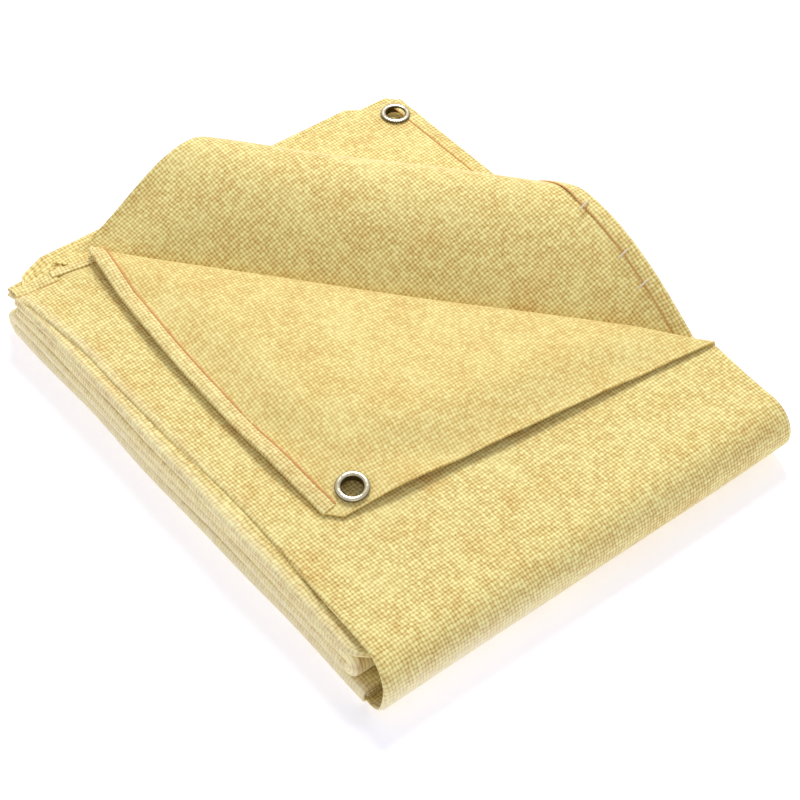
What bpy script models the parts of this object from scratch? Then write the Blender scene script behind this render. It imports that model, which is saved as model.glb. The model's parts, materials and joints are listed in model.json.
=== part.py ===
"""Folded fire blanket of woven glass fibre: a pack of four leaves with the top ply's corner turned back.

Metres, +Z up. X runs from the folded side (-X) to the hemmed side (+X), and Y runs from the big
rounded fold (-Y) to the ends (+Y). The pack stands on z = 0 with its middle at the origin.
"""

import math

import bmesh
import bpy
from mathutils import Matrix, Vector

# Driving dimensions
WIDTH = 0.312  # pack, folded side to hemmed side
LENGTH = 0.372  # pack, rounded fold to ends
LEAF = 0.0096  # one leaf of the pack: four plies pressed together
PLY = 0.0016  # one thickness of the cloth
GAP = 0.0003  # clearance between pieces that touch
FOLD_SLACK = 0.014  # hollow between the outer rounded fold and the inner one
SIDE_STEP = 0.009  # how far the leaves stop short of the hemmed side
SIDE_SLANT = 0.007  # how far the top ply and the rounded fold draw in beside the fold
END_SLANT = 0.008  # how much further the top ply reaches at the folded side
END_STEP = 0.0155  # how far the top ply stops short of the ends
SIDE_ROUND = 0.004  # how far the loose plies start inside the folded side

FLAP_START = 0.0567  # folded side to where the turned-back fold leaves the end edge
FLAP_END = 0.0705  # rounded fold to where the turned-back fold meets the hemmed side
FLAP_EDGE = 0.257  # the turned-back corner's end edge, fold to tip
FLAP_LEAN = 2.6  # degrees that this edge leans out towards the folded side
ROLL_RADIUS = 0.004  # the soft roll along the turned-back fold
FLAP_RISE = 0.0140  # top of the flap's arch above the top ply
FLAP_CREST = 0.55  # share of the way from the fold to the tip at which the arch is highest
FLAP_BEND = 0.20  # share of the way from there to the tip in which it bends down

HUMP_RISE = 0.040  # wave in the second ply, above its flat
HUMP_CREST = 0.072  # turned-back fold to the wave's crest
HUMP_FOOT = 0.125  # turned-back fold to the wave's far foot
CORNER_LIFT = 0.0026  # how far the second ply's corner stands off the leaf below
CORNER_CUT = 0.006  # bluntness of each cloth corner

HEM_WIDTH = 0.009
HEM_PLY = 0.0014
HEM_GAP = 0.0005
THREAD = 0.0008
TACK_LENGTH = 0.010

EYELET_BORE = 0.0126
EYELET_WALL = 0.0005
EYELET_FLANGE = 0.0200  # outer diameter
EYELET_DOME = 0.0010
EYELET_TO_SIDE = 0.0020  # flange to the cloth's long side
EYELET_TO_HEM = 0.001473  # flange to the end hem of the turned-back corner
UNDER_EYELET_TO_END = 0.0080  # flange to the end of the raised corner
HIDDEN_EYELET_TO_EDGE = 0.0105
HIDDEN_EYELET_SPACING = 0.0004  # between the two that lie one over the other
EYELET_STEPS = 28
EYELET_GAP = 0.0005  # cloth to flange, and cloth to washer
WASHER_THICK = 0.0005
HOLE_CLEARANCE = 0.0004

END_HEM_START = 0.06  # shares of the flap's end edge between which its hem runs
END_HEM_END = 0.985

# Worked-out levels and places
MID = 2 * LEAF + 2 * GAP  # the plane between the lower and the upper half
TOP = 2 * MID
TOP_PLY_Z = TOP - PLY
UNDER_PLY_Z = TOP_PLY_Z - GAP - PLY
UNDER_TOP = UNDER_PLY_Z + PLY
FOLD_Y = -LENGTH / 2 + MID  # centre line of the rounded fold
INNER_FOLD_Y = FOLD_Y + FOLD_SLACK
SIDE_X = WIDTH / 2
UNDER_SIDE_X = SIDE_X - SIDE_SLANT + 0.001
UNDER_END_Y = LENGTH / 2 - 0.002

FOLD_P = Vector((-WIDTH / 2 + FLAP_START, LENGTH / 2 - END_STEP))
FOLD_Q = Vector((SIDE_X - ROLL_RADIUS / 2, -LENGTH / 2 + FLAP_END))
FOLD_LENGTH = (FOLD_Q - FOLD_P).length
ALONG = (FOLD_Q - FOLD_P).normalized()
ACROSS = Vector((-ALONG.y, ALONG.x))  # from the fold towards the free corner
ROLL_Z = UNDER_TOP + GAP + ROLL_RADIUS
CORNER_AXIS_V = ROLL_RADIUS + 0.0009
UNDER_START_V = CORNER_AXIS_V + GAP / 2


def clear_scene():
    for old in list(bpy.data.objects):
        bpy.data.objects.remove(old, do_unlink=True)


def finish(name, colour, roughness, metallic=0.0):
    """A plain Principled material."""
    material = bpy.data.materials.new(name)
    material.use_nodes = True
    shader = material.node_tree.nodes["Principled BSDF"]
    shader.inputs["Base Color"].default_value = (*colour, 1.0)
    shader.inputs["Roughness"].default_value = roughness
    shader.inputs["Metallic"].default_value = metallic
    return material


def joint_empty(name, place, direction, parent=None):
    """An empty on a joint's axis, with its own X along that axis."""
    empty = bpy.data.objects.new(name, None)
    empty.empty_display_size = 0.03
    bpy.context.scene.collection.objects.link(empty)
    turn = Vector((1, 0, 0)).rotation_difference(direction).to_matrix().to_4x4()
    empty.matrix_world = Matrix.Translation(place) @ turn
    if parent:
        attach(empty, parent)
    return empty


def attach(obj, parent):
    obj.parent = parent
    obj.matrix_parent_inverse = WORLD[parent.name].inverted()


def remember(empty):
    WORLD[empty.name] = empty.matrix_world.copy()
    return empty


WORLD = {}


def solid(name, points, faces, material, body):
    """A mesh object from world points and faces, with its normals turned out."""
    mesh = bpy.data.meshes.new(name)
    mesh.from_pydata([tuple(point) for point in points], [], faces)
    work = bmesh.new()
    work.from_mesh(mesh)
    bmesh.ops.recalc_face_normals(work, faces=work.faces)
    work.to_mesh(mesh)
    work.free()
    mesh.materials.append(material)
    obj = bpy.data.objects.new(name, mesh)
    bpy.context.scene.collection.objects.link(obj)
    if body:
        attach(obj, body)
    return obj


def prism(name, outline, axis, low, high, material, body):
    """An outline in the plane across an axis, extruded along it from low to high."""
    place = {
        "X": lambda p, at: (at, p[0], p[1]),
        "Y": lambda p, at: (p[0], at, p[1]),
        "Z": lambda p, at: (p[0], p[1], at),
    }[axis]
    count = len(outline)
    points = [place(p, low) for p in outline] + [place(p, high) for p in outline]
    faces = [tuple(range(count)), tuple(range(2 * count - 1, count - 1, -1))]
    for i in range(count):
        j = (i + 1) % count
        faces.append((i, j, count + j, count + i))
    return solid(name, points, faces, material, body)


def arc(centre, radius, start, end, steps):
    """Points of an arc, with its angles in degrees."""
    turned = []
    for i in range(steps + 1):
        angle = math.radians(start + (end - start) * i / steps)
        turned.append((centre[0] + radius * math.cos(angle), centre[1] + radius * math.sin(angle)))
    return turned


def grid_solid(name, top, bottom, material, body):
    """A closed sheet between two grids of points with the same rows and columns."""
    rows = len(top)
    columns = len(top[0])
    points = [p for row in top for p in row] + [p for row in bottom for p in row]
    under = rows * columns
    faces = []
    for i in range(rows - 1):
        for j in range(columns - 1):
            a = i * columns + j
            corners = (a, a + 1, a + columns + 1, a + columns)
            faces.append(corners)
            faces.append(tuple(under + c for c in reversed(corners)))
    rim = [j for j in range(columns)]
    rim += [i * columns + columns - 1 for i in range(1, rows)]
    rim += [(rows - 1) * columns + j for j in range(columns - 2, -1, -1)]
    rim += [i * columns for i in range(rows - 2, 0, -1)]
    for i, a in enumerate(rim):
        b = rim[(i + 1) % len(rim)]
        faces.append((b, a, under + a, under + b))
    return solid(name, points, faces, material, body)


def cut(obj, cutter):
    """Takes the cutter away from the object with an exact Boolean."""
    cutter.hide_render = True
    cutter.display_type = "WIRE"
    take = obj.modifiers.new("take_" + cutter.name, "BOOLEAN")
    take.operation = "DIFFERENCE"
    take.object = cutter


def thread(name, points, material, body, diameter=THREAD):
    """A sewing thread: a bevelled curve with closed ends."""
    curve = bpy.data.curves.new(name, "CURVE")
    curve.dimensions = "3D"
    curve.bevel_depth = diameter / 2
    curve.bevel_resolution = 1
    curve.use_fill_caps = True
    line = curve.splines.new("POLY")
    line.points.add(len(points) - 1)
    for knot, point in zip(line.points, points):
        knot.co = (*point, 1.0)
    curve.materials.append(material)
    obj = bpy.data.objects.new(name, curve)
    bpy.context.scene.collection.objects.link(obj)
    attach(obj, body)
    return obj


def on_fold(along, across):
    """Plan place from a length along the turned-back fold and a distance across it."""
    return FOLD_P + ALONG * along + ACROSS * across


def fold_measures(place):
    """The reverse of on_fold."""
    offset = Vector((place[0], place[1])) - FOLD_P
    return offset.dot(ALONG), offset.dot(ACROSS)


# The leaves and folds of the pack


def leaf(name, low, high, start_y, end_y, material, body):
    """A pressed leaf: square at the hems and half-round at the folded side."""
    radius = (high - low) / 2
    centre = (-WIDTH / 2 + radius, low + radius)
    outline = [(SIDE_X - SIDE_STEP, low), (SIDE_X - SIDE_STEP, high)]
    outline += arc(centre, radius, 90, 270, 8)
    return prism(name, outline, "Y", start_y, end_y, material, body)


def outer_fold(name, upper, material, body):
    """A quarter of the big rounded fold, from the middle plane to the top or the bottom face."""
    side = 1 if upper else -1
    outer = math.degrees(math.asin(GAP / 2 / MID))
    inner = math.degrees(math.asin(GAP / 2 / (MID - LEAF)))
    outline = arc((FOLD_Y, MID), MID, 180 - side * outer, 180 - side * 90, 10)
    outline += arc((FOLD_Y, MID), MID - LEAF, 180 - side * 90, 180 - side * inner, 8)
    return prism(name, outline, "X", -WIDTH / 2 + SIDE_ROUND, SIDE_X - SIDE_SLANT, material, body)


def inner_fold(name, upper, material, body):
    """A quarter of the tight inner fold."""
    side = 1 if upper else -1
    radius = MID - LEAF - GAP
    start = math.degrees(math.asin(GAP / 2 / radius))
    outline = [(INNER_FOLD_Y, MID + side * GAP / 2)]
    outline += arc((INNER_FOLD_Y, MID), radius, 180 - side * start, 180 - side * 90, 6)
    return prism(name, outline, "X", -WIDTH / 2 + SIDE_ROUND, SIDE_X - SIDE_STEP, material, body)


def end_fold(material, body):
    """The half-round fold that joins the two lower leaves at the ends."""
    radius = (MID - GAP) / 2
    outline = arc((LENGTH / 2 - radius, radius), radius, -90, 90, 12)
    return prism("end_fold", outline, "X", -WIDTH / 2 + SIDE_ROUND, SIDE_X - SIDE_STEP, material, body)


def loose_ply(name, low, cut_across, end_y, side_x, slant, material, body):
    """A single ply over the upper leaf, cut along the turned-back fold.

    Its end edge runs out by the slant towards the folded side.
    """
    start_y = FOLD_Y + GAP
    from_end = on_fold((end_y - FOLD_P.y - ACROSS.y * cut_across) / ALONG.y, cut_across)
    from_side = on_fold((side_x - FOLD_P.x - ACROSS.x * cut_across) / ALONG.x, cut_across)
    outline = [(-WIDTH / 2 + SIDE_ROUND, start_y), (SIDE_X - SIDE_SLANT, start_y)]
    outline += [tuple(from_side), tuple(from_end), (-WIDTH / 2 + SIDE_ROUND, end_y + slant)]
    return prism(name, outline, "Z", low, low + PLY, material, body)


# The second ply's corner, with its wave


def hump_height(place):
    """Height of the second ply's underside above its flat, at a plan place."""
    across = fold_measures(place)[1]
    if across <= UNDER_START_V:
        return 0.0
    if across < HUMP_CREST:
        share = (across - UNDER_START_V) / (HUMP_CREST - UNDER_START_V)
        return HUMP_RISE * math.sin(math.pi / 2 * share)
    share = min(1.0, (across - HUMP_CREST) / (HUMP_FOOT - HUMP_CREST))
    fall = share * share * (3 - 2 * share)
    return HUMP_RISE + (CORNER_LIFT - HUMP_RISE) * fall


def edge_along(across, end_y):
    """Length along the fold at which a line beside it meets the end edge."""
    return (end_y - FOLD_P.y - ACROSS.y * across) / ALONG.y


def side_along(across, side_x):
    """Length along the fold at which a line beside it meets the hemmed side."""
    return (side_x - FOLD_P.x - ACROSS.x * across) / ALONG.x


def under_corner(material, body):
    rows = 26
    columns = 9
    corner = fold_measures((UNDER_SIDE_X, UNDER_END_Y))[1] - CORNER_CUT
    top = []
    bottom = []
    for i in range(rows + 1):
        across = UNDER_START_V + (corner - UNDER_START_V) * i / rows
        low = edge_along(across, UNDER_END_Y)
        high = side_along(across, UNDER_SIDE_X)
        places = [on_fold(low + (high - low) * j / columns, across) for j in range(columns + 1)]
        heights = [UNDER_PLY_Z + hump_height(place) for place in places]
        top.append([(p.x, p.y, z + PLY) for p, z in zip(places, heights)])
        bottom.append([(p.x, p.y, z) for p, z in zip(places, heights)])
    return grid_solid("under_corner", top, bottom, material, body)


def side_hem_place(y, inset):
    """A point on the second ply's upper face, inset from its hemmed side."""
    place = Vector((UNDER_SIDE_X - inset, y))
    return place, UNDER_TOP + hump_height(place)


def side_hem_range():
    """Lowest and highest Y of the raised side hem."""
    start = on_fold(side_along(UNDER_START_V + 0.004, UNDER_SIDE_X), UNDER_START_V + 0.004).y
    return start + HEM_WIDTH, UNDER_END_Y - UNDER_EYELET_TO_END - 1.5 * EYELET_FLANGE


def side_hem(material, body):
    rows = 40
    low, high = side_hem_range()
    top = []
    bottom = []
    for i in range(rows + 1):
        y = low + (high - low) * i / rows
        across = [side_hem_place(y, inset) for inset in (GAP, HEM_WIDTH / 2, HEM_WIDTH)]
        top.append([(p.x, p.y, z + HEM_GAP + HEM_PLY) for p, z in across])
        bottom.append([(p.x, p.y, z + HEM_GAP) for p, z in across])
    return grid_solid("under_side_hem", top, bottom, material, body)


def side_hem_thread(material, body):
    """The stitch line just inside the side hem."""
    count = 36
    low, high = side_hem_range()
    rise = HEM_GAP + THREAD / 2 + GAP
    points = []
    for i in range(count + 1):
        y = low + (high - low) * i / count
        place, z = side_hem_place(y, HEM_WIDTH + THREAD / 2 + 2 * GAP)
        points.append((place.x, place.y, z + rise))
    return thread("side_hem_thread", points, material, body)


def tack(name, share, material, body):
    """A short white stitch across the side hem's inner edge."""
    low, high = side_hem_range()
    y = low + (high - low) * share
    rise = HEM_GAP + HEM_PLY + THREAD / 2 + GAP
    points = []
    for i in range(5):
        inset = HEM_WIDTH - TACK_LENGTH / 2 + TACK_LENGTH * i / 4
        place, z = side_hem_place(y - 0.002 * i / 4, inset)
        points.append((place.x, place.y, z + rise))
    return thread(name, points, material, body)


# The turned-back corner


def flap_tip():
    """Where the free corner lies once it is turned back over the fold."""
    lean = math.radians(FLAP_LEAN)
    return FOLD_P - FLAP_EDGE * Vector((math.sin(lean), math.cos(lean)))


def flap_height(place):
    """Height of the flap's underside above the top ply, at a plan place."""
    depth = -fold_measures(place)[1]
    full = -fold_measures(flap_tip())[1]
    share = max(0.0, min(1.0, depth / full))
    start = ROLL_Z + ROLL_RADIUS - PLY - TOP
    if share < FLAP_CREST:
        back = 1 - share / FLAP_CREST
        return FLAP_RISE - (FLAP_RISE - start) * back * back
    ahead = (share - FLAP_CREST) / (1 - FLAP_CREST)
    bent = min(ahead, FLAP_BEND)
    fall = (bent * bent / (2 * FLAP_BEND) + ahead - bent) / (1 - FLAP_BEND / 2)
    return FLAP_RISE - (FLAP_RISE - 2 * GAP) * fall


def flap_edges(share):
    """The two edge points of the flap at a share of its depth."""
    tip = flap_tip()
    return FOLD_P.lerp(tip, share), FOLD_Q.lerp(tip, share)


def corner_flap(material, body):
    rows = 18
    columns = 8
    depth = -fold_measures(flap_tip())[1]
    blunt = 1 - CORNER_CUT / depth
    top = []
    bottom = []
    for i in range(rows + 1):
        share = blunt * i / rows
        first, last = flap_edges(share)
        places = [first.lerp(last, j / columns) for j in range(columns + 1)]
        heights = [TOP + flap_height(place) for place in places]
        top.append([(p.x, p.y, z + PLY) for p, z in zip(places, heights)])
        bottom.append([(p.x, p.y, z) for p, z in zip(places, heights)])
    flap = grid_solid("corner_flap", top, bottom, material, body)
    roll = fold_roll(material, body)
    join = flap.modifiers.new("roll", "BOOLEAN")
    join.operation = "UNION"
    join.object = roll
    return flap


def fold_roll(material, body):
    """The soft roll along the fold, which turns on its own centre line."""
    steps = 16
    ends = []
    for along in (0.001, FOLD_LENGTH - 0.001):
        ring = []
        for i in range(steps):
            angle = 2 * math.pi * (i + 0.5) / steps
            place = on_fold(along, ROLL_RADIUS * math.cos(angle))
            ring.append((place.x, place.y, ROLL_Z + ROLL_RADIUS * math.sin(angle)))
        ends.append(ring)
    faces = [tuple(range(steps)), tuple(range(2 * steps - 1, steps - 1, -1))]
    for i in range(steps):
        j = (i + 1) % steps
        faces.append((i, j, steps + j, steps + i))
    roll = solid("flap_roll_shape", ends[0] + ends[1], faces, material, body)
    roll.hide_render = True
    roll.display_type = "WIRE"
    return roll


def end_hem_place(share, inset):
    """A point on the flap's upper face, inset from its end edge."""
    tip = flap_tip()
    inward = (FOLD_Q - FOLD_P).normalized()
    edge = (tip - FOLD_P).normalized()
    inward = (inward - edge * inward.dot(edge)).normalized()
    place = FOLD_P.lerp(tip, share) + inward * inset
    return place, TOP + flap_height(place) + PLY


def end_hem(material, body):
    rows = 30
    top = []
    bottom = []
    for i in range(rows + 1):
        share = END_HEM_START + (END_HEM_END - END_HEM_START) * i / rows
        across = [end_hem_place(share, inset) for inset in (GAP, HEM_WIDTH / 2, HEM_WIDTH)]
        top.append([(p.x, p.y, z + HEM_GAP + HEM_PLY) for p, z in across])
        bottom.append([(p.x, p.y, z + HEM_GAP) for p, z in across])
    return grid_solid("flap_end_hem", top, bottom, material, body)


def end_hem_thread(material, body):
    """The stitch line just inside the flap's end hem."""
    count = 30
    points = []
    for i in range(count + 1):
        share = END_HEM_START + (END_HEM_END - END_HEM_START) * i / count
        place, z = end_hem_place(share, HEM_WIDTH + THREAD / 2 + 2 * GAP)
        points.append((place.x, place.y, z + HEM_GAP + THREAD / 2 + GAP))
    return thread("end_hem_thread", points, material, body)


# The top ply's end hem beside the fold


def top_end_hem(material, body):
    """The hem along the ends, from the folded side to the turned-back fold."""
    start = Vector((-WIDTH / 2 + SIDE_ROUND, LENGTH / 2 - END_STEP + END_SLANT - GAP))
    edge = (FOLD_P - ACROSS * ROLL_RADIUS - start).normalized()
    inward = Vector((edge.y, -edge.x))
    first = start + edge * (2 * GAP + HEM_WIDTH * END_SLANT / (FLAP_START - SIDE_ROUND))
    last = start + edge * (FLAP_START - SIDE_ROUND - 3 * ROLL_RADIUS)
    outline = [first + inward * HEM_WIDTH, last + inward * HEM_WIDTH, last, first]
    return prism("top_end_hem", outline, "Z", TOP + GAP, TOP + GAP + HEM_PLY, material, body)


# The eyelets


def tilt_at(place, height, base):
    """World matrix of an eyelet on a cloth face: its Z leaves the face at a right angle."""
    step = 0.004
    here = height(place)
    slope_x = (height(place + Vector((step, 0))) - height(place - Vector((step, 0)))) / (2 * step)
    slope_y = (height(place + Vector((0, step))) - height(place - Vector((0, step)))) / (2 * step)
    normal = Vector((-slope_x, -slope_y, 1)).normalized()
    turn = Vector((0, 0, 1)).rotation_difference(normal).to_matrix().to_4x4()
    return Matrix.Translation(Vector((place.x, place.y, base + here))) @ turn


def turned(name, profile, frame, material, body):
    """A closed ring from a radius-and-height outline, turned about the frame's Z."""
    points = []
    for i in range(EYELET_STEPS):
        angle = 2 * math.pi * i / EYELET_STEPS
        for radius, height in profile:
            local = Vector((radius * math.cos(angle), radius * math.sin(angle), height))
            points.append(frame @ local)
    count = len(profile)
    faces = []
    for i in range(EYELET_STEPS):
        j = (i + 1) % EYELET_STEPS
        for k in range(count):
            n = (k + 1) % count
            faces.append((i * count + k, j * count + k, j * count + n, i * count + n))
    ring = solid(name, points, faces, material, body)
    ring.data.shade_smooth()
    ring.data.set_sharp_from_angle(angle=math.radians(40))
    return ring


def eyelet(name, frame, material, body, grip=PLY):
    """Domed flange above the cloth and a barrel down through its hole."""
    bore = EYELET_BORE / 2
    barrel = bore + EYELET_WALL
    flange = EYELET_FLANGE / 2
    middle = (barrel + flange) / 2
    profile = [
        (bore, -grip - 2 * EYELET_GAP - WASHER_THICK),
        (bore, EYELET_GAP + EYELET_DOME / 2),
        ((bore + middle) / 2, EYELET_GAP + EYELET_DOME),
        (middle, EYELET_GAP + EYELET_DOME),
        (flange, EYELET_GAP + EYELET_DOME / 3),
        (flange, EYELET_GAP),
        (barrel, EYELET_GAP),
        (barrel, -grip - 2 * EYELET_GAP - WASHER_THICK),
    ]
    return turned(name, profile, frame, material, body)


def washer(name, frame, material, body, grip=PLY):
    """The flat ring below the cloth, round the barrel."""
    inner = EYELET_BORE / 2 + EYELET_WALL + GAP
    outer = EYELET_FLANGE / 2 - EYELET_WALL
    top = -grip - EYELET_GAP
    profile = [(inner, top - WASHER_THICK), (outer, top - WASHER_THICK), (outer, top), (inner, top)]
    return turned(name, profile, frame, material, body)


def cloth_hole(name, frame, reach, material, body):
    """The cutter for an eyelet's hole in one or more plies."""
    radius = EYELET_BORE / 2 + EYELET_WALL + HOLE_CLEARANCE
    return round_cutter(name, frame, radius, -reach, reach, material, body)


def round_cutter(name, frame, radius, low, high, material, body):
    points = []
    for height in (low, high):
        for i in range(EYELET_STEPS):
            angle = 2 * math.pi * i / EYELET_STEPS
            local = Vector((radius * math.cos(angle), radius * math.sin(angle), height))
            points.append(frame @ local)
    faces = [
        tuple(range(EYELET_STEPS)),
        tuple(range(2 * EYELET_STEPS - 1, EYELET_STEPS - 1, -1)),
    ]
    for i in range(EYELET_STEPS):
        j = (i + 1) % EYELET_STEPS
        faces.append((i, j, EYELET_STEPS + j, EYELET_STEPS + i))
    return solid(name, points, faces, material, body)


def hidden_eyelets(leaf_object, brass, cloth, body):
    """The two eyelets of the inner strip end, one over the other in their leaf."""
    inset = EYELET_FLANGE / 2 + HIDDEN_EYELET_TO_EDGE
    place = Vector((SIDE_X - SIDE_STEP - inset, LENGTH / 2 - END_STEP - inset))
    base = MID + GAP
    pocket = EYELET_FLANGE / 2 + HOLE_CLEARANCE
    centre = Matrix.Translation(Vector((place.x, place.y, base)))
    cut(leaf_object, round_cutter("hidden_pocket", centre, pocket, -LEAF, 2 * LEAF, cloth, body))
    full = (LEAF - HIDDEN_EYELET_SPACING) / 2
    below = full - EYELET_GAP - EYELET_DOME
    grip = below - 2 * EYELET_GAP - WASHER_THICK
    for number in (1, 2):
        low = base + (number - 1) * (LEAF - full)
        frame = Matrix.Translation(Vector((place.x, place.y, low + below)))
        eyelet(f"hidden_eyelet_{number}", frame, brass, body, grip)
        washer(f"hidden_washer_{number}", frame, brass, body, grip)


def main():
    clear_scene()
    cloth = finish("glass_cloth", (0.78, 0.56, 0.24), 0.85)
    hem_cloth = finish("hem_cloth", (0.80, 0.60, 0.30), 0.85)
    seam = finish("hem_thread", (0.70, 0.36, 0.12), 0.7)
    white = finish("tack_thread", (0.90, 0.86, 0.78), 0.7)
    brass = finish("nickelled_brass", (0.75, 0.68, 0.50), 0.25, 1.0)

    upper = remember(joint_empty("upper_half_axis", Vector((0, -LENGTH / 2, MID)), Vector((1, 0, 0))))
    fold_way = Vector((ALONG.x, ALONG.y, 0))
    flap_place = Vector((FOLD_P.x, FOLD_P.y, ROLL_Z))
    flap_axis = remember(joint_empty("flap_axis", flap_place, fold_way, upper))
    corner_start = on_fold(0, CORNER_AXIS_V)
    corner_place = Vector((corner_start.x, corner_start.y, UNDER_TOP))
    corner_axis = remember(joint_empty("under_corner_axis", corner_place, fold_way, upper))

    end_radius = (MID - GAP) / 2
    lower_end = LENGTH / 2 - end_radius - GAP
    upper_end = LENGTH / 2 - END_STEP
    leaf("bottom_leaf", 0, LEAF, FOLD_Y + GAP, lower_end, cloth, None)
    leaf("lower_middle_leaf", LEAF + GAP, MID - GAP, INNER_FOLD_Y + GAP, lower_end, cloth, None)
    end_fold(cloth, None)
    outer_fold("outer_fold_lower", False, cloth, None)
    inner_fold("inner_fold_lower", False, cloth, None)

    middle_top = MID + GAP + LEAF
    middle = leaf(
        "upper_middle_leaf", MID + GAP, middle_top, INNER_FOLD_Y + GAP, upper_end, cloth, upper
    )
    leaf("upper_leaf", middle_top + GAP, UNDER_PLY_Z - GAP, FOLD_Y + GAP, upper_end, cloth, upper)
    outer_fold("outer_fold_upper", True, cloth, upper)
    inner_fold("inner_fold_upper", True, cloth, upper)
    loose_ply(
        "under_sheet", UNDER_PLY_Z, CORNER_AXIS_V - GAP / 2, UNDER_END_Y, UNDER_SIDE_X, 0, cloth, upper
    )
    loose_ply("top_sheet", TOP_PLY_Z, -ROLL_RADIUS, upper_end, SIDE_X, END_SLANT, cloth, upper)
    top_end_hem(hem_cloth, upper)
    hidden_eyelets(middle, brass, cloth, upper)

    corner = under_corner(cloth, corner_axis)
    side_hem(hem_cloth, corner_axis)
    side_hem_thread(seam, corner_axis)
    tack("tack_stitch_1", 0.10, white, corner_axis)
    tack("tack_stitch_2", 0.18, white, corner_axis)
    tack("tack_stitch_3", 0.34, white, corner_axis)
    from_side = EYELET_FLANGE / 2 + EYELET_TO_SIDE
    from_end = EYELET_FLANGE / 2 + UNDER_EYELET_TO_END
    under_place = Vector((UNDER_SIDE_X - from_side, UNDER_END_Y - from_end))
    under_frame = tilt_at(under_place, hump_height, UNDER_TOP)
    cut(corner, cloth_hole("under_hole", under_frame, 0.008, cloth, corner_axis))
    eyelet("under_eyelet", under_frame, brass, corner_axis)
    washer("under_washer", under_frame, brass, corner_axis)

    flap = corner_flap(cloth, flap_axis)
    end_hem(hem_cloth, flap_axis)
    end_hem_thread(seam, flap_axis)
    tip = flap_tip()
    to_end = (FOLD_P - tip).normalized()
    to_side = (FOLD_Q - tip).normalized()
    from_hem = HEM_WIDTH + EYELET_TO_HEM + EYELET_FLANGE / 2
    corner_sine = abs(to_end.x * to_side.y - to_end.y * to_side.x)
    flap_place = tip + to_end * from_side + to_side * from_hem / corner_sine
    flap_frame = tilt_at(flap_place, flap_height, TOP + PLY)
    cut(flap, cloth_hole("flap_hole", flap_frame, 0.008, cloth, flap_axis))
    eyelet("flap_eyelet", flap_frame, brass, flap_axis)
    washer("flap_washer", flap_frame, brass, flap_axis)


main()
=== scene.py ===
import json
import math

import bpy
import numpy as np
from mathutils import Matrix, Vector


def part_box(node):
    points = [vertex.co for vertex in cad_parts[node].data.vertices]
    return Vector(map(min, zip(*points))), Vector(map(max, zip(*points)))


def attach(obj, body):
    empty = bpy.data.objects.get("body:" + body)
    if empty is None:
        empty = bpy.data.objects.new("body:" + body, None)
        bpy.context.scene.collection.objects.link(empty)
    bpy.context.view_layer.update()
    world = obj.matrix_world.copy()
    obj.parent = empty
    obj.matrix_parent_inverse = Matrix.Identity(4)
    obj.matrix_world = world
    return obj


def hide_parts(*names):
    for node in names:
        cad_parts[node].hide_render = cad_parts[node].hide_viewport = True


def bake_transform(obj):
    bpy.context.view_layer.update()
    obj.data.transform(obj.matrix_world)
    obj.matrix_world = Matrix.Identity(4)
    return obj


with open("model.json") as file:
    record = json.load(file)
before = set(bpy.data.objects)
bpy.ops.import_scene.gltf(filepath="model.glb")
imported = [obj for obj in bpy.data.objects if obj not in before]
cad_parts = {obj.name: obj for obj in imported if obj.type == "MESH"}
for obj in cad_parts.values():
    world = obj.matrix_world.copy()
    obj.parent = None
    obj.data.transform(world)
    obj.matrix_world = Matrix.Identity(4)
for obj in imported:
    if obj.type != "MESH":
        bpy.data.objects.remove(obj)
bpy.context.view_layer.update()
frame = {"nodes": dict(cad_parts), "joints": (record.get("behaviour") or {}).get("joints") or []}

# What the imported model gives: levels, edges and the joints' lines
joints = {joint["name"]: joint for joint in frame["joints"]}
topLow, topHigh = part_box("top_sheet")
bottomLow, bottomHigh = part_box("bottom_leaf")
middleLow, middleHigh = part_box("lower_middle_leaf")
upperLow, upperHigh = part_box("upper_middle_leaf")
underLow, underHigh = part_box("under_sheet")
cornerLow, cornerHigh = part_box("under_corner")

pack = {
    "leaf": bottomHigh.z,  # four plies pressed together
    "ply": topHigh.z - topLow.z,
    "middle": joints["pack_fold"]["pos_m"][2],
    "top": topHigh.z,
    "left": bottomLow.x,  # folded side
    "right": bottomHigh.x,  # where the leaves' hems end
    "side": topHigh.x,  # hemmed side of the loose plies
    "back": joints["pack_fold"]["pos_m"][1],  # outermost line of the big fold
    "leafEnd": upperHigh.y,  # ends of the upper leaves
    "lowEnd": bottomHigh.y,  # where the lower leaves' fold starts
    "innerFold": upperLow.y,
    "skin": 0.0014,  # drawn thickness of one ply
    "inset": 0.0008,  # how far the folded side keeps inside the leaves' edge
    "sideWear": 0.55,  # how rubbed the folded side is
    "eyeletCut": 0.0082,  # radius of the hole in the cloth that an eyelet covers
}
pack["foldY"] = pack["back"] + pack["middle"]

# light is the painted highlight on the beads and pit the painted shade in the hollows between them, with deep
# and body between; light also colours the pale patches
clothColours = {
    "light": "#FAF2AC",
    "body": "#E7D086",
    "deep": "#CBA85A",
    "pit": "#9C7636",
    "orange": "#E8B468",
    "worn": "#FCF6DC",
}
weave = {"across": 0.00225, "along": 0.00242}  # thread spacing in metres


def linear(hexColour):
    channels = [int(hexColour[i:i + 2], 16) / 255 for i in (1, 3, 5)]
    turned = [c / 12.92 if c <= 0.04045 else ((c + 0.055) / 1.055) ** 2.4 for c in channels]
    return (*turned, 1.0)


def addNode(tree, kind, settings=None, inputs=None):
    # Adds a node; an input is either a plain value or another node's socket
    node = tree.nodes.new(kind)
    for key, value in (settings or {}).items():
        setattr(node, key, value)
    for key, value in (inputs or {}).items():
        if hasattr(value, "is_output"):
            tree.links.new(value, node.inputs[key])
        else:
            node.inputs[key].default_value = value
    return node


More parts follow.
